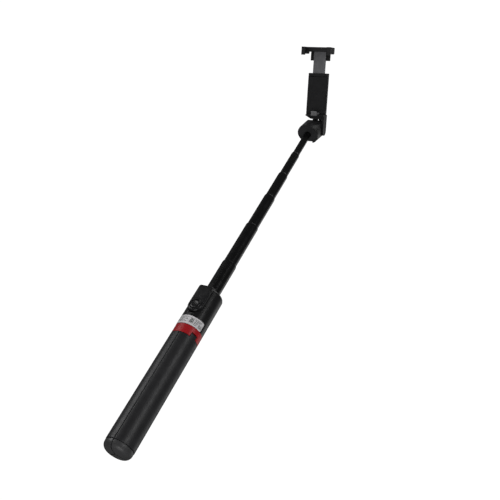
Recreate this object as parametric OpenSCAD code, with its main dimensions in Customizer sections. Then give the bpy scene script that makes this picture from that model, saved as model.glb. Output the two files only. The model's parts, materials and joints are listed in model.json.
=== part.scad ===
// Telescopic selfie stick whose handle opens into a tripod.
// The stick stands along +Z, its front faces -Y, and z = 0 is the closed legs' end face.

/* [Handle] */
// Outer diameter of the closed handle
handle_d = 29; // [28.5:0.1:29.5]
// Length of the closed legs
leg_len = 128; // [120:1:150]
// Height of the red collar
collar_h = 10; // [8.5:0.5:12]
// Height of the grip housing
housing_h = 49.8; // [48:0.1:60]
// Radius of the rounded end of the closed legs
foot_round = 6; // [4:0.5:8]
// Width of the seam between two closed legs
leg_seam = 0.5; // [0.3:0.1:1]

/* [Mast] */
// Outer diameter of the first and widest tube
tube_d = 16; // [15.9:0.1:16]
// Wall of every tube
tube_wall = 0.35; // [0.3:0.05:0.4]
// Length of each tube
tube_len = 101; // [90:1:104]
// Shown length of the first tube
shown_1 = 44.4; // [20:0.1:80]
// Shown length of the second tube
shown_2 = 59.3; // [20:0.1:80]
// Shown length of the third tube
shown_3 = 49.8; // [20:0.1:80]
// Shown length of the fourth tube
shown_4 = 40.7; // [20:0.1:80]
// Shown length of the fifth tube
shown_5 = 39.8; // [20:0.1:80]
// Shown length of the sixth tube, up to the head
shown_6 = 41.5; // [20:0.1:80]

/* [Remote] */
// Width of the pull-out remote
remote_w = 16.4; // [16:0.1:17]
// Thickness of the remote
remote_t = 5.8; // [5.8:0.1:6.5]
// Diameter of the shutter button
button_d = 11; // [9:0.5:12]

/* [Head and clamp] */
// Diameter of the swivel head
head_d = 27; // [26:0.5:30]
// Forward lean of the clamp, from upright
tilt = 56; // [0:1:64]
// Opening between the jaws
jaw_gap = 72; // [62:1:84]
// Width of the upper jaw
upper_jaw_w = 38.4; // [34:0.2:44]
// Thickness of phone that the jaw lips reach over
phone_t = 8.2; // [7:0.1:9]

/* [Hidden] */
$fn = 96;
eps = 0.01;
far = 60;

handle_r = handle_d / 2;
collar_z = leg_len + 0.4;
housing_z = collar_z + collar_h;
top_z = housing_z + housing_h;

// Legs
leg_angles = [60, -60, 180];
leg_bore_r = 9.3;
leg_wall = 1.6;
leg_side = 1.4;
cap_h = 8;
pin_z = collar_z + 2.5;
pin_r = 0.75;
pin_at = 12.6;
pin_half = 5.3;
knuckle_r = 1.9;
knuckle_half = 3.6;
run = 0.05;
air = 0.3;
screw_at = 12.4;
screw_r = 0.9;
screw_head_r = 1.6;
hub_r = 10.3;
cap_gap = 0.6;
cap_seam = 0.45;
cap_inset = 0.3;
label_h = 10;
label_half = 74;

// Mast
tube_step = 0.75;
sleeve_r = 8.8;
sleeve_wall = 0.4;
sleeve_z = 84;
ring_z = top_z - 3;
ring_r = 9.6;
lip_h = 1.2;
bush_h = 8;
groove_at = 12;
groove_r = 1;
groove_out = 0.7;
tube_r = [for (i = [0:5]) tube_d / 2 - i * tube_step];
shown = [shown_1, shown_2, shown_3, shown_4, shown_5, shown_6];
function sum_to(v, n) = n < 0 ? 0 : v[n] + sum_to(v, n - 1);
tube_top = [for (i = [0:5]) top_z + sum_to(shown, i)];
head_z = tube_top[5];
socket_h = 7.3;
stud_r = 2;
notch_half = 4.4;
notch_y = 10.5;

// Remote, its depth counted forward from the stick's axis
remote_back_y = 10;
remote_front_y = remote_back_y + remote_t;
remote_split_y = remote_back_y + 2.6;
remote_half = remote_w / 2;
remote_z = top_z - 26.2;
remote_top_z = top_z - 0.3;
shell_t = 1.1;
board_y = remote_split_y + 0.05;
board_t = 0.8;
flange_y = remote_front_y - shell_t - 0.4;
flange_t = 0.35;

// Head and clamp, the clamp's parts drawn upright about the tilt pin
tilt_y = 8.5;
tilt_z = head_z + 19.1;
barrel_r = 5.5;
barrel_left = -10;
barrel_right = 10.8;
arm_left = 11.1;
arm_right = 14;
arm_r = 5;
tilt_pin_r = 1.6;
washer_r = 4.6;
arm_front = 4.4;
cover_t = 1;
jaw_plate_y = 6.5;
jaw_plate_t = 1.6;
jaw_root_y = 3.5;
back_y = 5.3;
plate_y = 0.3;
jaw_u = 23.3;
jaw_x = -1.4;
jaw_leg_w = 4.8;
jaw_tip_x = -12.4;
jaw_root_u = 15.2;
tab_u = 12.9;
tab_y = 3.3;
tabs = [[-4.6, 2.5], [3.8, 7.6]];
pad_x = [-2.2, 5.2];
cover_screw_x = 12.2;
cover_screw_u = [26, 48, 68];
cover_screw_r = 0.55;
jaw_screw_x = 5;
jaw_screw_r = 0.9;
jaw_h = 8;
block_top = 8.2;
block_front = 10.9;
block_angle = 52;
jaw_plate_u = 20.9;
upper_u = jaw_u + jaw_gap;
box_half = 13;
box_top = 72;
slider_half = 8;
slider_y = 1.6;
slider_t = 2.2;
ear_u = 52;
ear_h = 3;
spring_x = 9.9;
spring_r = 1.1;
anchor_u = 27;
lip_reach = phone_t + 1.5;

// Points of a circular arc from angle a to angle b
function arc(cx, cy, r, a, b, n = 8) =
    [for (i = [0:n]) [cx + r * cos(a + (b - a) * i / n), cy + r * sin(a + (b - a) * i / n)]];

// Turns a shape drawn at the front to another angle about the stick
module around(angle) rotate([0, 0, angle]) children();

// Cylinder along X, from x0 to x1
module rod_x(r, x0, x1) translate([x0, 0, 0]) rotate([0, 90, 0]) cylinder(r = r, h = x1 - x0);

// Block between two corners
module block(a, b) translate(a) cube(b - a);

// A third of the handle's cross-section, each side held back by gap
module third(r0, r1, gap) {
    apex = gap / sin(60);
    difference() {
        circle(r = r1);
        circle(r = r0);
        polygon([[0, -apex], [far * sin(60), -apex - far * cos(60)], [far, far], [-far, far],
                 [-far * sin(60), -apex - far * cos(60)]]);
    }
}

module leg_shell(n) color("#262628") around(leg_angles[n - 1]) {
    difference() {
        union() {
            translate([0, 0, cap_h]) linear_extrude(leg_len - cap_h)
                third(leg_bore_r, handle_r, leg_seam / 2);
            intersection() {
                union() {
                    block([-knuckle_half, -far, leg_len - 1], [knuckle_half, -pin_at + knuckle_r, pin_z]);
                    translate([0, -pin_at, pin_z]) rod_x(knuckle_r, -knuckle_half, knuckle_half);
                }
                cylinder(r = handle_r, h = far * 4);
            }
        }
        translate([0, 0, cap_h - 1]) linear_extrude(leg_len - cap_h - 3)
            third(0, handle_r - leg_wall, leg_seam / 2 + leg_side);
        translate([0, -pin_at, pin_z]) rod_x(pin_r + run, -far, far);
    }
}

module leg_liner(n) color("#1b1b1d") around(leg_angles[n - 1]) {
    inset = leg_seam / 2 + leg_side + run;
    translate([0, 0, cap_h + 9]) linear_extrude(leg_len - cap_h - 14)
        third(leg_bore_r, leg_bore_r + 1.1, inset);
    for (z = [30:20:110]) translate([0, 0, z]) linear_extrude(1.2)
        third(leg_bore_r + 1, handle_r - leg_wall - run, inset);
}

module foot_cap(n) color("#303032") around(leg_angles[n - 1]) {
    outer_r = handle_r - cap_inset;
    top = cap_h - cap_gap;
    rounding = arc(outer_r - foot_round, foot_round, foot_round, -90, 0);
    profile = concat([[0, 0]], rounding, [[outer_r, top], [0, top]]);
    intersection() {
        rotate_extrude() polygon(profile);
        linear_extrude(cap_h) third(0, handle_r + 1, cap_seam);
    }
    translate([0, 0, top - 0.1]) linear_extrude(8)
        third(leg_bore_r + 1, handle_r - leg_wall - run, leg_seam / 2 + leg_side + run);
}

module leg_pins() color("#b8b8bc") for (a = leg_angles) around(a)
    translate([0, -pin_at, pin_z]) rod_x(pin_r, -pin_half, pin_half);

module collar() color("#a5121f") difference() {
    translate([0, 0, collar_z]) cylinder(r = handle_r, h = collar_h - 0.05);
    translate([0, 0, collar_z - 1]) cylinder(r = hub_r + run, h = collar_h + 2);
    for (a = leg_angles) around(a) {
        block([-knuckle_half - air, -far, collar_z - 1], [knuckle_half + air, -5, pin_z + knuckle_r + air]);
        translate([0, -pin_at, pin_z]) rod_x(pin_r + eps, -pin_half - run, pin_half + run);
        around(60) translate([0, -screw_at, collar_z - 1]) cylinder(r = screw_r + 0.1, h = far);
        around(60) translate([0, -screw_at, collar_z - 1]) cylinder(r = screw_head_r + 0.1, h = 2.6);
    }
}

module hub_core() color("#1b1b1d") difference() {
    translate([0, 0, collar_z]) cylinder(r = hub_r, h = collar_h - 0.1);
    translate([0, 0, collar_z - 1]) cylinder(r = sleeve_r + run, h = collar_h + 2);
}

module hub_screws() color("#c4c4c8") for (a = [0, 120, 240]) around(a) translate([0, -screw_at, collar_z]) {
    translate([0, 0, 0.3]) cylinder(r = screw_head_r, h = 1.25);
    translate([0, 0, 1.5]) cylinder(r = screw_r, h = collar_h + 3);
}

module guide_sleeve() color("#9a9a9e") difference() {
    translate([0, 0, sleeve_z]) cylinder(r = sleeve_r, h = ring_z - sleeve_z - 0.1);
    translate([0, 0, sleeve_z - 1]) cylinder(r = sleeve_r - sleeve_wall, h = far * 3);
}

module sleeve_plug() color("#1b1b1d") {
    translate([0, 0, sleeve_z - 2]) cylinder(r = sleeve_r, h = 1.95);
    translate([0, 0, sleeve_z - 0.1]) cylinder(r = sleeve_r - sleeve_wall - run, h = 3);
}

// Front outline of the remote, grown by g, as a slab from depth y0 to y1
module remote_slab(g, y0, y1, top) translate([0, -y0, 0]) rotate([90, 0, 0]) linear_extrude(y1 - y0) {
    translate([0, remote_z]) circle(r = remote_half + g);
    translate([-remote_half - g, remote_z]) square([2 * remote_half + 2 * g, top - remote_z]);
}

module grip_housing() color("#1d1d1f") {
    shoulder = 4;
    rim_r = handle_r - shoulder;
    rounding = arc(rim_r, housing_h - shoulder, shoulder, 0, 90);
    outer = concat([[0, 0], [handle_r, 0]], rounding, [[0, housing_h]]);
    difference() {
        translate([0, 0, housing_z]) rotate_extrude() polygon(outer);
        difference() {
            translate([0, 0, housing_z + 9]) cylinder(r = handle_r - 1.8, h = housing_h - 14);
            remote_slab(1.2, 0, far, top_z);
        }
        remote_slab(air, remote_back_y - air, far, far * 4);
        translate([0, 0, housing_z - 1]) cylinder(r = sleeve_r + 0.15, h = far * 2);
        translate([0, 0, ring_z]) cylinder(r = ring_r + run, h = far);
        for (a = [0, 120, 240]) around(a) translate([0, -screw_at, housing_z - 1])
            cylinder(r = screw_r + 0.02, h = 7);
        block([-3.2, -far, remote_z - remote_half - 2.2], [3.2, -handle_r + 1.3, remote_z - remote_half + 1]);
    }
}

module top_ring() color("#232325") difference() {
    translate([0, 0, ring_z + 0.05]) cylinder(r = ring_r, h = 3.3);
    translate([0, 0, ring_z - 1]) cylinder(r = tube_r[0] + 0.1, h = far);
}

module label() color("#c3c2c5") intersection() {
    translate([0, 0, housing_z + 0.2]) difference() {
        cylinder(r = handle_r + 0.15, h = label_h);
        translate([0, 0, -1]) cylinder(r = handle_r + eps, h = far);
    }
    linear_extrude(far * 4) polygon([[0, 0], [-far * sin(label_half), -far * cos(label_half)], [-far, -far],
                                     [far, -far], [far * sin(label_half), -far * cos(label_half)]]);
}

module remote_back() color("#161617") difference() {
    remote_slab(0, remote_back_y, remote_split_y, remote_top_z);
    remote_slab(-shell_t, remote_back_y + 0.9, far, remote_top_z - shell_t);
}

module remote_cover() color("#1a1a1c") difference() {
    remote_slab(0, remote_split_y + eps, remote_front_y, remote_top_z);
    remote_slab(-shell_t, 0, remote_front_y - shell_t, remote_top_z - shell_t);
    translate([0, 0, remote_z]) rotate([90, 0, 0]) cylinder(d = button_d + 0.4, h = far);
    translate([0, 0, remote_z + 11]) rotate([90, 0, 0]) cylinder(r = 0.85, h = far);
}

module remote_board() color("#1f5a36")
    remote_slab(-shell_t - 0.4, board_y, board_y + board_t, remote_z + 23);

module coin_cell() color("#c9c9cc")
    translate([0, -remote_split_y, remote_z + 16]) rotate([-90, 0, 0]) cylinder(r = 6.25, h = 1.6);

module switch_dome() color("#d6c28a")
    translate([0, -board_y - board_t - eps, remote_z]) rotate([90, 0, 0]) cylinder(r = 3, h = 0.4);

module status_light() color("#8fb8d8") translate([0, 0, remote_z + 11]) rotate([90, 0, 0])
    translate([0, 0, board_y + board_t + eps]) cylinder(r = 0.8, h = remote_front_y - board_y - board_t);

module shutter_button() color("#202022") translate([0, 0, remote_z]) rotate([90, 0, 0]) {
    translate([0, 0, flange_y]) cylinder(d = button_d + 0.9, h = flange_t);
    translate([0, 0, flange_y]) cylinder(d = button_d, h = remote_front_y - flange_y + 0.4);
}

// Cross-section of tube i with its lengthwise groove
module tube_ring(r) {
    difference() {
        circle(r = r);
        circle(r = r - tube_wall);
        rotate(groove_at) translate([0, -r - groove_out]) circle(r = groove_r + tube_wall, $fn = 48);
    }
    intersection() {
        circle(r = r);
        rotate(groove_at) translate([0, -r - groove_out]) difference() {
            circle(r = groove_r + tube_wall, $fn = 48);
            circle(r = groove_r, $fn = 48);
        }
    }
}

module tube(n) color("#101011") {
    i = n - 1;
    r = tube_r[i];
    top = n == 6 ? head_z + socket_h : tube_top[i];
    length = n == 6 ? tube_len + socket_h : tube_len;
    translate([0, 0, top - length]) linear_extrude(n == 6 ? length : length - lip_h) tube_ring(r);
    if (n < 6) translate([0, 0, top - lip_h]) difference() {
        cylinder(r1 = r, r2 = r - 0.25, h = lip_h);
        translate([0, 0, -1]) cylinder(r = r - tube_step + 0.1, h = far);
    }
}

module bush(n) color("#e6e6e2") {
    r = tube_r[n - 1];
    outer_r = n == 1 ? sleeve_r - sleeve_wall : tube_r[n - 2] - tube_wall;
    translate([0, 0, tube_top[n - 1] - tube_len]) difference() {
        cylinder(r = outer_r - 0.06, h = bush_h);
        translate([0, 0, -1]) cylinder(r = r + eps, h = far);
        around(groove_at) block([-1.4, -far, -1], [1.4, 0, far]);
    }
}

module swivel_stud() color("#a8a8ac") {
    top = head_z + socket_h;
    translate([0, 0, top - 12]) cylinder(r = tube_r[5] - tube_wall - 0.35, h = 12);
    translate([0, 0, top]) cylinder(r = tube_r[5], h = 1);
    translate([0, 0, top]) cylinder(r = stud_r, h = 8.3);
}

module swivel_nut() color("#b8b8bc") translate([0, 0, head_z + 13.6]) difference() {
    cylinder(r = 3.6, h = 1.6, $fn = 6);
    translate([0, 0, -1]) cylinder(r = stud_r + eps, h = far);
}

module head_body() color("#29292b") difference() {
    hull() {
        translate([0, 0, head_z]) cylinder(d = head_d, h = 2.5, $fn = 64);
        block([barrel_left, tilt_y - block_front, tilt_z + 5], [barrel_right, 6, tilt_z + block_top]);
        translate([0, tilt_y, tilt_z]) rotate([0, 90, 0]) translate([0, 0, barrel_left])
            cylinder(r = barrel_r, h = barrel_right - barrel_left, $fn = 48);
    }
    // Room behind the front block for the clamp's stop tabs to swing
    translate([0, tilt_y, tilt_z]) difference() {
        rod_x(far, -far, far);
        rod_x(barrel_r, -far - 1, far + 1);
        block([-far - 1, -far - 1, -far - 1], [far + 1, far + 1, 0]);
        rotate([block_angle, 0, 0]) block([-far - 1, -far - 1, -far - 1], [far + 1, 0, far * 2]);
    }
    // Room beside the barrel for the clamp's arm
    block([barrel_right, -far, tilt_z - back_y - 0.5], [far, far, tilt_z + far]);
    translate([0, 0, head_z - 1]) cylinder(d = head_d - 2, h = 2.8);
    translate([0, 0, head_z - 1]) cylinder(r = tube_r[5] + 0.1, h = socket_h + 2.2);
    translate([0, 0, head_z]) cylinder(r = stud_r + run, h = 13.4);
    translate([0, 0, head_z + 13.4]) cylinder(r = 3.9, h = 3);
    translate([0, tilt_y, tilt_z]) rod_x(tilt_pin_r + eps, -far, far);
    translate([0, tilt_y, tilt_z]) rod_x(3.3, -far, barrel_left + 2.4);
    block([-notch_half, notch_y, head_z - 1], [notch_half, far, head_z + 6]);
}

module head_base() color("#3a3a3c") difference() {
    translate([0, 0, head_z + 0.1]) cylinder(d = head_d - 2.1, h = 1.6);
    translate([0, 0, head_z - 1]) cylinder(r = tube_r[5] + 0.1, h = far);
    block([-notch_half, notch_y, head_z - 1], [notch_half, far, head_z + 6]);
}

module at_tilt(angle = 0) translate([0, tilt_y, tilt_z]) rotate([angle, 0, 0]) children();

module tilt_pin() color("#b8b8bc") at_tilt() {
    rod_x(tilt_pin_r, barrel_left + 0.2, arm_right - 1.2);
    rod_x(2.9, arm_right - 1.25, arm_right - 0.1);
}

module tilt_nut() color("#b8b8bc") at_tilt() difference() {
    translate([barrel_left + 0.3, 0, 0]) rotate([0, 90, 0]) cylinder(r = 3.1, h = 2, $fn = 6);
    rod_x(tilt_pin_r + eps, -far, far);
}

module tilt_washer() color("#d0c8a8") at_tilt() difference() {
    rod_x(washer_r, barrel_right + 0.03, arm_left - 0.03);
    rod_x(tilt_pin_r + eps, -far, far);
}

module clamp_bracket() color("#1b1b1d") at_tilt(tilt) difference() {
    union() {
        rod_x(arm_r, arm_left, arm_right);
        block([arm_left, -arm_front, 0], [arm_right, back_y, jaw_plate_u]);
        translate([0, back_y, 0]) rotate([90, 0, 0]) linear_extrude(back_y + jaw_root_y)
            polygon([[jaw_tip_x + 3, jaw_plate_u], [jaw_tip_x, jaw_plate_u - 1], [jaw_tip_x, jaw_plate_u - 1.7],
                     [tabs[0][0], jaw_root_u], [arm_right, jaw_root_u],
                     [arm_right, jaw_plate_u]]);
        for (x = tabs) block([x[0], tab_y, tab_u], [x[1], back_y, jaw_plate_u]);
        block([-box_half, plate_y + cover_t + run, jaw_plate_u], [box_half, back_y, box_top]);
        block([-box_half, plate_y + cover_t + run, jaw_plate_u - jaw_plate_t], [arm_right, back_y, jaw_plate_u + 0.1]);
        block([jaw_tip_x + 2, -jaw_plate_y, jaw_plate_u - jaw_plate_t], [arm_right, back_y, jaw_plate_u + 0.1]);
    }
    block([-box_half + 1.6, -far, jaw_plate_u + 2.4], [box_half - 1.6, back_y - 1.2, box_top + 1]);
    rod_x(tilt_pin_r + run, -far, far);
    rod_x(3.1, arm_right - 1.35, far);
    block([arm_left - 1, -3, 6.6], [arm_right - 1.6, back_y - 1.4, 15]);
}

module clamp_cover() color("#222224") at_tilt(tilt) difference() {
    block([-box_half, plate_y, jaw_plate_u + 0.2], [box_half, plate_y + cover_t, box_top]);
    for (x = [-cover_screw_x, cover_screw_x], u = cover_screw_u)
        translate([x, -1, u]) rotate([-90, 0, 0]) cylinder(r = cover_screw_r + eps, h = far, $fn = 24);
}

module cover_screws() color("#c4c4c8") at_tilt(tilt)
    for (x = [-cover_screw_x, cover_screw_x], u = cover_screw_u)
        translate([x, plate_y + 0.1, u]) rotate([-90, 0, 0]) cylinder(r = cover_screw_r, h = 0.94, $fn = 24);

module lower_pad() color("#3a3a3d") at_tilt(tilt) {
    block([pad_x[0], -lip_reach, jaw_plate_u + 0.2], [pad_x[1], plate_y - 0.1, jaw_u]);
    block([pad_x[0], -lip_reach, jaw_plate_u - 1.5], [pad_x[1], -jaw_plate_y - 0.1, jaw_u]);
    block([pad_x[0], -lip_reach, jaw_plate_u - 1.5], [pad_x[1], -phone_t, jaw_u + 1.8]);
}

module clamp_springs() color("#b0b0b4") at_tilt(tilt) for (s = [-1, 1])
    translate([s * spring_x, slider_y + slider_t / 2, anchor_u])
        cylinder(r = spring_r, h = ear_u - anchor_u - 0.1);

module jaw_slider() color("#8e8e92") at_tilt(tilt) {
    block([-slider_half, slider_y, ear_u - 2], [slider_half, slider_y + slider_t, upper_u + 6]);
    block([-11.1, slider_y, ear_u], [11.1, slider_y + slider_t, ear_u + ear_h]);
}

module upper_jaw() color("#1a1a1c") at_tilt(tilt) difference() {
    half = upper_jaw_w / 2;
    union() {
        block([jaw_x - half, -5, upper_u + 2.6], [jaw_x + half, back_y, upper_u + jaw_h]);
        for (x0 = [jaw_x - half, jaw_x + half - jaw_leg_w]) {
            block([x0, -lip_reach, upper_u + 0.7], [x0 + jaw_leg_w, back_y, upper_u + jaw_h]);
            block([x0, -lip_reach, upper_u - 1.8], [x0 + jaw_leg_w, -phone_t, upper_u + jaw_h]);
        }
        block([-box_half, slider_y + slider_t + run, upper_u - 8], [box_half, back_y, upper_u + jaw_h]);
    }
    block([-slider_half - run, slider_y - run, 0],
          [slider_half + run, slider_y + slider_t + run, upper_u + 6.1]);
    for (x = [-jaw_screw_x, jaw_screw_x]) translate([x, 0, upper_u + jaw_h / 2])
        rotate([-90, 0, 0]) cylinder(r = jaw_screw_r + run, h = far, $fn = 24);
}

module upper_pads() color("#3a3a3d") at_tilt(tilt)
    for (x0 = [jaw_x - upper_jaw_w / 2, jaw_x + upper_jaw_w / 2 - jaw_leg_w])
        block([x0 + 0.4, -phone_t + 0.1, upper_u], [x0 + jaw_leg_w - 0.4, back_y - 0.4, upper_u + 0.65]);

module jaw_screws() color("#c4c4c8") at_tilt(tilt) for (x = [-jaw_screw_x, jaw_screw_x])
    translate([x, slider_y + slider_t + 0.1, upper_u + jaw_h / 2]) rotate([-90, 0, 0])
        cylinder(r = jaw_screw_r, h = 1.2, $fn = 24);

collar();
hub_core();
hub_screws();
leg_pins();
guide_sleeve();
sleeve_plug();
grip_housing();
top_ring();
label();
remote_cover();
remote_back();
remote_board();
coin_cell();
switch_dome();
status_light();
shutter_button();
leg_shell(1);  // leg_shell_1
leg_shell(2);  // leg_shell_2
leg_shell(3);  // leg_shell_3
leg_liner(1);  // leg_liner_1
leg_liner(2);  // leg_liner_2
leg_liner(3);  // leg_liner_3
foot_cap(1);  // foot_cap_1
foot_cap(2);  // foot_cap_2
foot_cap(3);  // foot_cap_3
tube(1);  // tube_1
tube(2);  // tube_2
tube(3);  // tube_3
tube(4);  // tube_4
tube(5);  // tube_5
tube(6);  // tube_6
bush(1);  // bush_1
bush(2);  // bush_2
bush(3);  // bush_3
bush(4);  // bush_4
bush(5);  // bush_5
bush(6);  // bush_6
swivel_stud();
swivel_nut();
head_body();
head_base();
tilt_pin();
tilt_nut();
tilt_washer();
clamp_bracket();
clamp_cover();
lower_pad();
cover_screws();
clamp_springs();
jaw_slider();
upper_jaw();
upper_pads();
jaw_screws();
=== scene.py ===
"""Looks of the selfie stick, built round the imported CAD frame. Metres throughout, +Z along the stick."""
import json
import math

import bmesh
import bpy
from mathutils import Matrix, Vector


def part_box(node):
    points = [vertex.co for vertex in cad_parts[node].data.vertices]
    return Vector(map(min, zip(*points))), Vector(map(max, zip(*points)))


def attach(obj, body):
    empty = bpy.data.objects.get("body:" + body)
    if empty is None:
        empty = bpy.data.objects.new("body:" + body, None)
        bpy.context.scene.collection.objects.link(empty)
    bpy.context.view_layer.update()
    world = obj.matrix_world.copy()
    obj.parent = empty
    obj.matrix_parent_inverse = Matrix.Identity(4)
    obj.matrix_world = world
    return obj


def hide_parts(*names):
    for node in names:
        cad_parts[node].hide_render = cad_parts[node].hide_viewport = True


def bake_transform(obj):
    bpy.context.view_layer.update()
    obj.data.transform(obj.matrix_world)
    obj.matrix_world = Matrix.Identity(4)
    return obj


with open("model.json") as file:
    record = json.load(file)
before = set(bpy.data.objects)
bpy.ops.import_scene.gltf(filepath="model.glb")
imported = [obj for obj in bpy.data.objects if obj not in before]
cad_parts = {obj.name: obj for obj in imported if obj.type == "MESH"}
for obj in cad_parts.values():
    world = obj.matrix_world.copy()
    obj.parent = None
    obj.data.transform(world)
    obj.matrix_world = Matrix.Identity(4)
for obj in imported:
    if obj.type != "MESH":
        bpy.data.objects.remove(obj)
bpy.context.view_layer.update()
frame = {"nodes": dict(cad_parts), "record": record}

MM = 0.001
PLASTIC_IOR = 1.46
LIGHTS_AZIMUTH = 34

# ---------------------------------------------------------------- places taken from the frame
housing_lo, housing_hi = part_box("grip_housing")
handle_r = (housing_hi[0] - housing_lo[0]) / 2
tilt_joint = next(j for j in frame["record"]["behaviour"]["joints"] if j["name"] == "clamp_tilt")
slide_joint = next(j for j in frame["record"]["behaviour"]["joints"] if j["name"] == "jaw_slide")
hinge = Vector(tilt_joint["pos_m"])
clamp_up = Vector(slide_joint["axis"]).normalized()
clamp_back = clamp_up.cross(Vector((1, 0, 0)))

# ---------------------------------------------------------------- camera and stage
CAMERA_AZIMUTH = 32.9
CAMERA_ELEVATION = -36.2
CAMERA_ROLL = 30.45
CAMERA_AIM = Vector((0.0366, -0.0362, 0.2260))
CAMERA_DISTANCE = 0.70
CAMERA_LENS = 50.4
FLOOR_Z = -1.6


def camera_axes(azimuth, elevation, roll):
    """Right, up and forward of a camera that looks at the stick from below, leaning by roll."""
    a, e, r = map(math.radians, (azimuth, elevation, roll))
    forward = Vector((-math.sin(a) * math.cos(e), math.cos(a) * math.cos(e), -math.sin(e)))
    level = forward.cross(Vector((0, 0, 1))).normalized()
    above = level.cross(forward)
    right = level * math.cos(r) + above * math.sin(r)
    return right, right.cross(forward), forward


def make_camera():
    right, up, forward = camera_axes(CAMERA_AZIMUTH, CAMERA_ELEVATION, CAMERA_ROLL)
    data = bpy.data.cameras.new("camera")
    data.lens = CAMERA_LENS
    data.sensor_width = 36
    data.clip_start = 0.01
    cam = bpy.data.objects.new("camera", data)
    bpy.context.scene.collection.objects.link(cam)
    place = CAMERA_AIM - forward * CAMERA_DISTANCE
    cam.matrix_world = Matrix.Translation(place) @ Matrix((right, up, -forward)).transposed().to_4x4()
    bpy.context.scene.camera = cam
    return cam


def make_floor():
    """A wide pale floor, far below, that is seen bright but lights the stick only by what it reflects."""
    mesh = bpy.data.meshes.new("floor")
    half = 40.0
    corners = [(x * half, y * half, FLOOR_Z) for x, y in ((-1, -1), (1, -1), (1, 1), (-1, 1))]
    mesh.from_pydata(corners, [], [(0, 1, 2, 3)])
    floor = bpy.data.objects.new("floor", mesh)
    bpy.context.scene.collection.objects.link(floor)
    mat, tree, shader = new_material("floor_paper")
    colour_variation(tree, shader, (0.80, 0.80, 0.80), 0.02, 3.0)
    shader.inputs["Roughness"].default_value = 0.9
    path = tree.nodes.new("ShaderNodeLightPath")
    glow = tree.nodes.new("ShaderNodeMath")
    glow.operation = "MULTIPLY"
    glow.inputs[1].default_value = 0.9
    tree.links.new(path.outputs["Is Camera Ray"], glow.inputs[0])
    tree.links.new(glow.outputs[0], shader.inputs["Emission Strength"])
    shader.inputs["Emission Color"].default_value = (1, 1, 1, 1)
    mesh.materials.append(mat)


def make_world():
    """A white backdrop that is seen at full brightness and lights the stick softly."""
    world = bpy.data.worlds.new("studio")
    bpy.context.scene.world = world
    world.use_nodes = True
    tree = world.node_tree
    tree.nodes.clear()
    out = tree.nodes.new("ShaderNodeOutputWorld")
    seen = tree.nodes.new("ShaderNodeBackground")
    seen.inputs["Color"].default_value = (1, 1, 1, 1)
    seen.inputs["Strength"].default_value = 1.05
    light = tree.nodes.new("ShaderNodeBackground")
    light.inputs["Color"].default_value = (1, 1, 1, 1)
    light.inputs["Strength"].default_value = 0.10
    path = tree.nodes.new("ShaderNodeLightPath")
    mix = tree.nodes.new("ShaderNodeMixShader")
    tree.links.new(path.outputs["Is Camera Ray"], mix.inputs[0])
    tree.links.new(light.outputs[0], mix.inputs[1])
    tree.links.new(seen.outputs[0], mix.inputs[2])
    tree.links.new(mix.outputs[0], out.inputs[0])


def soft_light(name, azimuth, elevation, distance, width, height, power, aim=0.1):
    """Softbox placed round the mast: azimuth counts to the right of the camera, elevation up from level."""
    a = math.radians(LIGHTS_AZIMUTH + azimuth)
    e = math.radians(elevation)
    target = Vector((0, 0, aim))
    way = Vector((math.sin(a) * math.cos(e), -math.cos(a) * math.cos(e), math.sin(e)))
    data = bpy.data.lights.new(name, "AREA")
    data.shape = "RECTANGLE"
    data.size = width
    data.size_y = height
    data.energy = power
    lamp = bpy.data.objects.new(name, data)
    bpy.context.scene.collection.objects.link(lamp)
    lamp.location = target + way * distance
    lamp.rotation_euler = way.to_track_quat("Z", "Y").to_euler()


# ---------------------------------------------------------------- materials
def new_material(name):
    mat = bpy.data.materials.new(name)
    mat.use_nodes = True
    tree = mat.node_tree
    return mat, tree, tree.nodes["Principled BSDF"]


def noise(tree, scale, detail=4.0, roughness=0.6):
    coords = tree.nodes.new("ShaderNodeTexCoord")
    node = tree.nodes.new("ShaderNodeTexNoise")
    node.inputs["Scale"].default_value = scale
    node.inputs["Detail"].default_value = detail
    node.inputs["Roughness"].default_value = roughness
    tree.links.new(coords.outputs["Object"], node.inputs["Vector"])
    return node


def spread(tree, source, low, high, start=0.3, stop=0.7):
    """Maps a noise to the range low to high."""
    node = tree.nodes.new("ShaderNodeMapRange")
    node.inputs["From Min"].default_value = start
    node.inputs["From Max"].default_value = stop
    node.inputs["To Min"].default_value = low
    node.inputs["To Max"].default_value = high
    tree.links.new(source, node.inputs["Value"])
    return node.outputs["Result"]


def mix_colour(tree, factor, dark, light):
    node = tree.nodes.new("ShaderNodeMix")
    node.data_type = "RGBA"
    for socket, value in ((node.inputs[6], dark), (node.inputs[7], light)):
        if isinstance(value, tuple):
            socket.default_value = (*value, 1)
        else:
            tree.links.new(value, socket)
    tree.links.new(factor, node.inputs[0])
    return node.outputs[2]


def colour_variation(tree, shader, colour, amount, scale):
    cloud = noise(tree, scale, 3.0)
    dark = tuple(c * (1 - amount) for c in colour)
    light = tuple(min(1.0, c * (1 + amount)) for c in colour)
    result = mix_colour(tree, spread(tree, cloud.outputs["Fac"], 0, 1), dark, light)
    tree.links.new(result, shader.inputs["Base Color"])
    return result


def edge_wear(tree, shader, colour, worn, start=0.53, stop=0.60):
    """Lightens the raised edges, where hands rub."""
    geometry = tree.nodes.new("ShaderNodeNewGeometry")
    edge = spread(tree, geometry.outputs["Pointiness"], 0, 0.55, start, stop)
    tree.links.new(mix_colour(tree, edge, colour, worn), shader.inputs["Base Color"])


def bumps(tree, shader, scale, depth, detail=2.0):
    grain = noise(tree, scale, detail)
    node = tree.nodes.new("ShaderNodeBump")
    node.inputs["Strength"].default_value = 0.6
    node.inputs["Distance"].default_value = depth
    tree.links.new(grain.outputs["Fac"], node.inputs["Height"])
    tree.links.new(node.outputs["Normal"], shader.inputs["Normal"])


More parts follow.
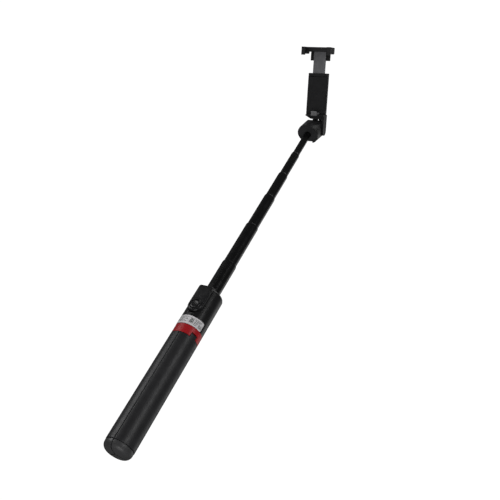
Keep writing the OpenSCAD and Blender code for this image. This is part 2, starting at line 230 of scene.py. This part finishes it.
def moulded(name, colour, rough, grain=2600.0, depth=0.000004, variation=0.18, worn=None):
    """Moulded plastic or rubber: cloudy colour, spark-eroded grain, uneven gloss and rubbed edges."""
    mat, tree, shader = new_material(name)
    tone = colour_variation(tree, shader, colour, variation, 60.0)
    if worn:
        edge_wear(tree, shader, tone, worn)
    patches = noise(tree, 140.0, 5.0)
    tree.links.new(spread(tree, patches.outputs["Fac"], max(0.05, rough - 0.05), min(1.0, rough + 0.07)),
                   shader.inputs["Roughness"])
    bumps(tree, shader, grain, depth)
    shader.inputs["IOR"].default_value = PLASTIC_IOR
    return mat


def metal(name, colour, rough, streak_axis):
    """Metal with fine streaks along one axis."""
    mat, tree, shader = new_material(name)
    coords = tree.nodes.new("ShaderNodeTexCoord")
    mapping = tree.nodes.new("ShaderNodeMapping")
    scale = [3000.0, 3000.0, 3000.0]
    scale[streak_axis] = 60.0
    mapping.inputs["Scale"].default_value = scale
    streaks = tree.nodes.new("ShaderNodeTexNoise")
    streaks.inputs["Scale"].default_value = 1.0
    streaks.inputs["Detail"].default_value = 3.0
    tree.links.new(coords.outputs["Object"], mapping.inputs["Vector"])
    tree.links.new(mapping.outputs["Vector"], streaks.inputs["Vector"])
    colour_variation(tree, shader, colour, 0.08, 90.0)
    gloss = spread(tree, streaks.outputs["Fac"], rough - 0.06, rough + 0.08)
    tree.links.new(gloss, shader.inputs["Roughness"])
    bump = tree.nodes.new("ShaderNodeBump")
    bump.inputs["Strength"].default_value = 0.25
    bump.inputs["Distance"].default_value = 0.00002
    tree.links.new(streaks.outputs["Fac"], bump.inputs["Height"])
    tree.links.new(bump.outputs["Normal"], shader.inputs["Normal"])
    shader.inputs["Metallic"].default_value = 1.0
    return mat


# ---------------------------------------------------------------- mesh helpers
def soften(node_name, width, segments=2, angle=32.0):
    """Rounds a CAD node's edges with modifiers, so that they catch light."""
    obj = frame["nodes"][node_name]
    weld = obj.modifiers.new("weld", "WELD")
    weld.merge_threshold = 0.000002
    bevel = obj.modifiers.new("bevel", "BEVEL")
    bevel.width = width
    bevel.segments = segments
    bevel.limit_method = "ANGLE"
    bevel.angle_limit = math.radians(angle)
    bevel.harden_normals = False
    bevel.use_clamp_overlap = True
    normals = obj.modifiers.new("normals", "WEIGHTED_NORMAL")
    normals.keep_sharp = False
    return obj


def shape(name, verts, faces, material, body, replaced=(), bevel=0.0, angle=35.0, smooth=True):
    """Mesh piece that rides on a body and stands for the CAD nodes that it replaces."""
    mesh = bpy.data.meshes.new(name)
    mesh.from_pydata([tuple(v) for v in verts], [], faces)
    bm = bmesh.new()
    bm.from_mesh(mesh)
    bmesh.ops.remove_doubles(bm, verts=bm.verts, dist=0.0000005)
    bmesh.ops.recalc_face_normals(bm, faces=bm.faces)
    for face in bm.faces:
        face.smooth = smooth
    bm.to_mesh(mesh)
    bm.free()
    mesh.materials.append(material)
    obj = bpy.data.objects.new(name, mesh)
    bpy.context.scene.collection.objects.link(obj)
    if bevel:
        mod = obj.modifiers.new("bevel", "BEVEL")
        mod.width = bevel
        mod.segments = 2
        mod.limit_method = "ANGLE"
        mod.angle_limit = math.radians(angle)
        obj.modifiers.new("normals", "WEIGHTED_NORMAL")
    if body:
        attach(obj, body)
    if replaced:
        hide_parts(*replaced)
    return obj


def lathe(profile, centre, axis, count=72):
    """Verts and faces of a profile of (radius, height) points turned about an axis."""
    axis = Vector(axis).normalized()
    side = axis.orthogonal().normalized()
    other = axis.cross(side)
    verts = []
    for r, h in profile:
        for i in range(count):
            a = math.tau * i / count
            verts.append(Vector(centre) + axis * h + side * (r * math.cos(a)) + other * (r * math.sin(a)))
    faces = []
    for k in range(len(profile) - 1):
        for i in range(count):
            j = (i + 1) % count
            faces.append((k * count + i, k * count + j, (k + 1) * count + j, (k + 1) * count + i))
    return verts, faces


def clamp_point(x, back, up):
    """Row point of a place in the clamp's own frame, in metres from the hinge."""
    return hinge + Vector((x, 0, 0)) + clamp_back * back + clamp_up * up


def clamp_box(node, part=None):
    """Lowest and highest x, back and up of a node in the clamp's frame; part keeps one side of x only."""
    points = []
    for v in frame["nodes"][node].data.vertices:
        d = v.co - hinge
        points.append((d.x, d.dot(clamp_back), d.dot(clamp_up)))
    if part is not None:
        middle = sum(q[0] for q in points) / len(points)
        points = [q for q in points if (q[0] - middle) * part > 0]
    return [min(q[i] for q in points) for i in range(3)], [max(q[i] for q in points) for i in range(3)]


def extrude(profile, x0, x1):
    """Clamp-frame profile of (back, up) points pushed from x0 to x1."""
    n = len(profile)
    verts = [clamp_point(x, b, u) for x in (x0, x1) for b, u in profile]
    faces = [tuple(range(n)), tuple(range(2 * n - 1, n - 1, -1))]
    faces += [(i, (i + 1) % n, n + (i + 1) % n, n + i) for i in range(n)]
    return verts, faces


def ribs(start, stop, level, depth, count):
    """Points of a row of rounded ribs whose tops lie at level."""
    pitch = (stop - start) / count
    points = []
    for i in range(count):
        b = start + i * pitch
        points += [(b + pitch * 0.08, level - depth), (b + pitch * 0.2, level), (b + pitch * 0.8, level),
                   (b + pitch * 0.92, level - depth)]
    return points


def paint(material, *names):
    for name in names:
        obj = frame["nodes"][name]
        for slot in obj.material_slots:
            slot.link = "OBJECT"
            slot.material = material


bpy.context.scene.view_settings.view_transform = "Standard"
make_world()
make_floor()
make_camera()
soft_light("key", 22, 13, 1.5, 0.42, 0.8, 4.2)
soft_light("left_wrap", -80, 13, 1.5, 0.95, 0.75, 6.5)
soft_light("right_rim", 122, 25, 1.5, 0.9, 1.9, 3.4)
soft_light("top", 0, 85, 1.6, 1.0, 1.0, 4)
soft_light("under", 10, -60, 1.4, 0.6, 0.6, 5.0)

# ---------------------------------------------------------------- surfaces
leg_black = moulded("leg_plastic", (0.022, 0.022, 0.024), 0.42, worn=(0.05, 0.05, 0.053))
deep_black = moulded("black_plastic", (0.012, 0.012, 0.013), 0.40, worn=(0.035, 0.035, 0.037))
gloss_black = moulded("gloss_black", (0.010, 0.010, 0.011), 0.28, grain=1800.0, depth=0.000002,
                      worn=(0.03, 0.03, 0.032))
red = moulded("red_plastic", (0.52, 0.010, 0.016), 0.36, grain=1500.0, depth=0.000002, variation=0.12)
tube_black = moulded("black_tube", (0.0025, 0.0025, 0.003), 0.24, grain=3500.0, depth=0.000001,
                     variation=0.25)
rubber = moulded("foot_rubber", (0.055, 0.055, 0.057), 0.38, grain=1500.0, depth=0.00001,
                 worn=(0.06, 0.06, 0.06))
pad = moulded("pad_rubber", (0.19, 0.19, 0.195), 0.6, grain=1700.0, depth=0.00001)
white_plastic = moulded("bush_plastic", (0.70, 0.69, 0.65), 0.45, variation=0.04)
nylon = moulded("washer_plastic", (0.55, 0.52, 0.38), 0.4, variation=0.05)
board = moulded("board_green", (0.02, 0.14, 0.05), 0.35, variation=0.2)
light_pipe = moulded("light_smoked", (0.03, 0.032, 0.035), 0.12, variation=0.05)
steel = metal("steel", (0.55, 0.55, 0.57), 0.3, 0)
black_steel = metal("black_steel", (0.05, 0.05, 0.052), 0.35, 0)
aluminium = metal("sleeve_metal", (0.42, 0.42, 0.44), 0.35, 2)
gold = metal("gold_dome", (0.70, 0.52, 0.22), 0.3, 1)
remote_black = moulded("remote_black", (0.008, 0.008, 0.009), 0.30, grain=1800.0, depth=0.000002,
                       worn=(0.02, 0.02, 0.021))
button_black = moulded("button_black", (0.010, 0.010, 0.011), 0.24, grain=1500.0, depth=0.000001,
                       worn=(0.03, 0.03, 0.03))
ink = moulded("label_ink", (0.20, 0.22, 0.21), 0.5, variation=0.2)
film = moulded("label_film", (0.93, 0.91, 0.93), 0.42, grain=900.0, depth=0.000002, variation=0.03)

thirds = (1, 2, 3)
tubes = range(1, 7)
paint(red, "collar")
paint(leg_black, *[f"leg_shell_{i}" for i in thirds], "head_base")
paint(deep_black, "hub_core", "sleeve_plug", "clamp_bracket", "clamp_cover", "upper_jaw", "head_body",
      "top_ring", *[f"leg_liner_{i}" for i in thirds])
paint(gloss_black, "grip_housing", "remote_back")
paint(tube_black, *[f"tube_{i}" for i in tubes])
paint(rubber, *[f"foot_cap_{i}" for i in thirds])
paint(white_plastic, *[f"bush_{i}" for i in tubes])
paint(steel, "hub_screws", "leg_pins", "swivel_stud", "swivel_nut", "tilt_nut", "coin_cell")
paint(black_steel, "cover_screws", "jaw_screws", "tilt_pin")
paint(aluminium, "guide_sleeve", "jaw_slider")
paint(nylon, "tilt_washer")
paint(board, "remote_board")
paint(gold, "switch_dome")

for i in thirds:
    soften(f"leg_shell_{i}", 0.00035, 3)
    soften(f"foot_cap_{i}", 0.0009, 3)
soften("collar", 0.0003)
soften("grip_housing", 0.0004, 3)
soften("clamp_bracket", 0.0005, 3)
soften("clamp_cover", 0.0003)
soften("upper_jaw", 0.0008, 3)
soften("head_body", 0.0005, 2, 38)
soften("jaw_slider", 0.0003)


# ---------------------------------------------------------------- remote
def remote_pieces():
    cover_lo, cover_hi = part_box("remote_cover")
    button_lo, button_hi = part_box("shutter_button")
    light_lo, light_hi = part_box("status_light")
    centre = (button_lo + button_hi) / 2
    half = (cover_hi.x - cover_lo.x) / 2
    button_r = 5.5 * MM
    front = -cover_lo.y
    back = -cover_hi.y
    top = cover_hi.z - centre.z
    count = 160

    def swell(x, z):
        """Height of the cover's swelling round the button."""
        along = max(0.0, 1 - max(0.0, z) / top)
        return 0.55 * MM * along * along * (3 - 2 * along) * (1 - 0.55 * (x / half) ** 2)

    def outline(angle, inset):
        """Point of the cover's outline seen from the button's centre, moved inwards by inset."""
        c, d = math.cos(angle), math.sin(angle)
        reach = half - inset
        ceiling = top - inset
        if d <= 0:
            return c * reach, d * reach
        side = reach / abs(c) if abs(c) > 1e-9 else 1e9
        corner = 2.2 * MM - min(inset, 1.6 * MM)
        x, z = (c * side, d * side) if d * side <= ceiling else (c * ceiling / d, ceiling)
        over_x, over_z = abs(x) - (reach - corner), z - (ceiling - corner)
        if over_x > 0 and over_z > 0:
            length = math.hypot(over_x, over_z)
            if length > corner:
                x = math.copysign(reach - corner + over_x * corner / length, x)
                z = ceiling - corner + over_z * corner / length
        return x, z

    angles = [math.tau * i / count for i in range(count)]
    corner_angle = math.atan2(top, half)
    angles = sorted(set(angles + [corner_angle, math.pi - corner_angle]))
    n = len(angles)
    rings = [[(*outline(a, 0), back) for a in angles]]
    edge = 1.5 * MM
    steps = 6
    for k in range(steps + 1):
        t = math.pi / 2 * k / steps
        ring = []
        for a in angles:
            x, z = outline(a, edge * (1 - math.cos(t)))
            ring.append((x, z, front - edge + edge * math.sin(t) + swell(x, z) * math.sin(t)))
        rings.append(ring)
    for share in (0.45, 0.62, 0.8, 0.92):
        ring = []
        for a, (x0, z0, _y) in zip(angles, rings[steps + 1]):
            r1 = button_r + 1.35 * MM
            x = x0 + (math.cos(a) * r1 - x0) * share
            z = z0 + (math.sin(a) * r1 - z0) * share
            ring.append((x, z, front + swell(x, z)))
        rings.append(ring)
    for radius, rise in ((1.3, 0.0), (1.0, 0.22), (0.7, 0.3), (0.45, 0.22), (0.3, 0.0), (0.28, -1.2)):
        ring = []
        for a in angles:
            r = button_r + radius * MM
            x, z = math.cos(a) * r, math.sin(a) * r
            ring.append((x, z, front + swell(x, z) + rise * MM))
        rings.append(ring)
    verts = [Vector((centre.x + x, -y, centre.z + z)) for ring in rings for x, z, y in ring]
    faces = []
    for k in range(len(rings) - 1):
        for i in range(n):
            j = (i + 1) % n
            faces.append((k * n + i, k * n + j, (k + 1) * n + j, (k + 1) * n + i))
    shape("remote_shell", verts, faces, remote_black, "remote", ("remote_cover",))

    face = front + swell(0, 0) + 0.5 * MM
    profile = [(0.0, face - 0.3 * MM), (1.5 * MM, face - 0.27 * MM), (2.6 * MM, face - 0.18 * MM),
               (3.3 * MM, face - 0.05 * MM), (3.8 * MM, face), (4.3 * MM, face - 0.08 * MM),
               (4.8 * MM, face - 0.32 * MM), (5.15 * MM, face - 0.65 * MM), (5.36 * MM, face - 1.05 * MM),
               (5.45 * MM, face - 1.5 * MM), (5.45 * MM, -button_hi.y + 0.3 * MM),
               (5.9 * MM, -button_hi.y + 0.3 * MM), (5.9 * MM, -button_hi.y), (0.0, -button_hi.y)]
    verts, faces = lathe(profile, (centre.x, 0, centre.z), (0, -1, 0))
    shape("button_cap", verts, faces, button_black, "button", ("shutter_button",))

    z = (light_lo.z + light_hi.z) / 2
    lens = front + swell(0, z - centre.z)
    profile = [(0.0, lens + 0.12 * MM), (0.4 * MM, lens + 0.09 * MM), (0.75 * MM, lens - 0.03 * MM),
               (0.8 * MM, lens - 0.15 * MM), (0.8 * MM, -light_hi.y), (0.0, -light_hi.y)]
    verts, faces = lathe(profile, (centre.x, 0, z), (0, -1, 0), 32)
    shape("light_lens", verts, faces, light_pipe, "remote", ("status_light",))


# ---------------------------------------------------------------- label, a printed film round the housing
def label_pieces():
    lo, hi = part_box("label")
    radius = handle_r + 0.13 * MM
    reach = math.radians(74)
    height = hi.z - lo.z
    corner = 1.3 * MM

    def film_patch(u0, u1, v0, v1, r, columns, rounded=0.0):
        """Curved patch between shares of the label's width and height."""
        verts, faces = [], []
        for i in range(columns + 1):
            u = u0 + (u1 - u0) * i / columns
            a = -reach + 2 * reach * u
            arc_in = min(u - u0, u1 - u) * 2 * reach * r
            cut = 0.0
            if rounded and arc_in < rounded:
                cut = rounded - math.sqrt(max(0.0, rounded ** 2 - (rounded - arc_in) ** 2))
            z0 = lo.z + height * v0 + cut
            z1 = lo.z + height * v1 - cut
            for z in (z0, z1):
                verts.append((math.sin(a) * r, -math.cos(a) * r, z))
        for i in range(columns):
            faces.append((2 * i, 2 * i + 2, 2 * i + 3, 2 * i + 1))
        return verts, faces

    verts, faces = film_patch(0.0, 1.0, 0.0, 1.0, radius, 180, corner)
    shape("label_film", verts, faces, film, "handle", ("label",))
    line_v = 0.06
    left_u, left_lines = 0.10, ((0.53, 0.80), (0.50, 0.66), (0.53, 0.52), (0.45, 0.38), (0.51, 0.24))
    right_u, right_lines = 0.72, ((0.94, 0.76), (0.90, 0.62), (0.83, 0.46), (0.83, 0.32), (0.80, 0.18))
    marks = [(u0, u1, v, v + line_v) for u0, lines in ((left_u, left_lines), (right_u, right_lines))
             for u1, v in lines]
    square_u, square_v = 0.585, 0.22
    cell_u, cell_v = 0.0135, 0.072
    cells = [(c, r) for c in range(8) for r in range(8) if (c * 5 + r * 3 + c * r) % 7 not in (1, 4)]
    marks += [(square_u + c * cell_u, square_u + (c + 1) * cell_u,
               square_v + r * cell_v, square_v + (r + 1) * cell_v) for c, r in cells]
    bar = 0.862
    for k in range(11):
        width = 0.0035 + 0.0025 * ((k * 7) % 3)
        marks.append((bar, bar + width, 0.14, 0.52))
        bar += width + 0.004 + 0.002 * (k % 2)
    verts, faces = [], []
    for u0, u1, v0, v1 in marks:
        more, quads = film_patch(u0, u1, v0, v1, radius + 0.012 * MM, max(2, int((u1 - u0) * 90)))
        faces += [tuple(len(verts) + i for i in q) for q in quads]
        verts += more
    shape("label_print", verts, faces, ink, "handle")


# ---------------------------------------------------------------- clamp pads and springs
def pad_pieces():
    record_mounts = {m["name"]: m for m in frame["record"]["mounts"]}
    lo, hi = clamp_box("lower_pad")
    face = (Vector(record_mounts["lower_jaw_face"]["pos_m"]) - hinge).dot(clamp_up)
    lip = lo[1] + 1.5 * MM
    floor = face - 2.2 * MM
    profile = [(lo[1] + 0.6 * MM, lo[2]), (lo[1], lo[2] + 0.8 * MM), (lo[1], hi[2] - 0.7 * MM),
               (lo[1] + 0.5 * MM, hi[2]), (lip - 0.3 * MM, hi[2]), (lip, hi[2] - 0.4 * MM),
               (lip, face - 0.3 * MM)]
    profile += ribs(lip + 0.3 * MM, hi[1] - 0.2 * MM, face, 0.4 * MM, 5)
    step = lo[1] + 3.1 * MM
    profile += [(hi[1], face - 0.5 * MM), (hi[1], floor), (step, floor), (step, lo[2])]
    verts, faces = extrude(profile, lo[0], hi[0])
    shape("jaw_pad", verts, faces, pad, "clamp", ("lower_pad",), 0.00012, 40, smooth=False)
    verts, faces = [], []
    for part in (-1, 1):
        lo, hi = clamp_box("upper_pads", part)
        rib_h = 0.35 * MM
        row = ribs(lo[1] + 0.2 * MM, hi[1] - 0.2 * MM, hi[2], rib_h, 7)
        profile = [(lo[1], hi[2]), (lo[1], lo[2] + rib_h)]
        profile += [(b, lo[2] + hi[2] - u) for b, u in row]
        profile += [(hi[1], lo[2] + rib_h), (hi[1], hi[2])]
        more, quads = extrude(profile, lo[0], hi[0])
        faces += [tuple(len(verts) + i for i in q) for q in quads]
        verts += more
    shape("upper_grips", verts, faces, pad, "jaw", ("upper_pads",), 0.00008, 40, smooth=False)


def springs():
    """Close-wound extension springs that stretch between the bracket and the slider."""
    wire, turns, steps, round_steps = 0.2 * MM, 34, 14, 6
    for part, name in ((-1, "spring_left"), (1, "spring_right")):
        lo, hi = clamp_box("clamp_springs", part)
        x = (lo[0] + hi[0]) / 2
        b = (lo[1] + hi[1]) / 2
        coil = (hi[0] - lo[0]) / 2 - wire
        verts, faces = [], []
        total = turns * steps
        for i in range(total + 1):
            a = math.tau * i / steps
            up = lo[2] + wire + (hi[2] - lo[2] - 2 * wire) * i / total
            for k in range(round_steps):
                t = math.tau * k / round_steps
                r = coil + wire * math.cos(t)
                verts.append(clamp_point(x + r * math.cos(a), b + r * math.sin(a), up + wire * math.sin(t)))
        for i in range(total):
            for k in range(round_steps):
                j = (k + 1) % round_steps
                faces.append((i * round_steps + k, i * round_steps + j, (i + 1) * round_steps + j,
                              (i + 1) * round_steps + k))
        faces += [tuple(range(round_steps)), tuple(range(total * round_steps, (total + 1) * round_steps))]
        coil_obj = shape(name, verts, faces, steel, None, ())
        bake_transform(coil_obj)
        if part > 0:
            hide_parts("clamp_springs")


remote_pieces()
label_pieces()
pad_pieces()
springs()
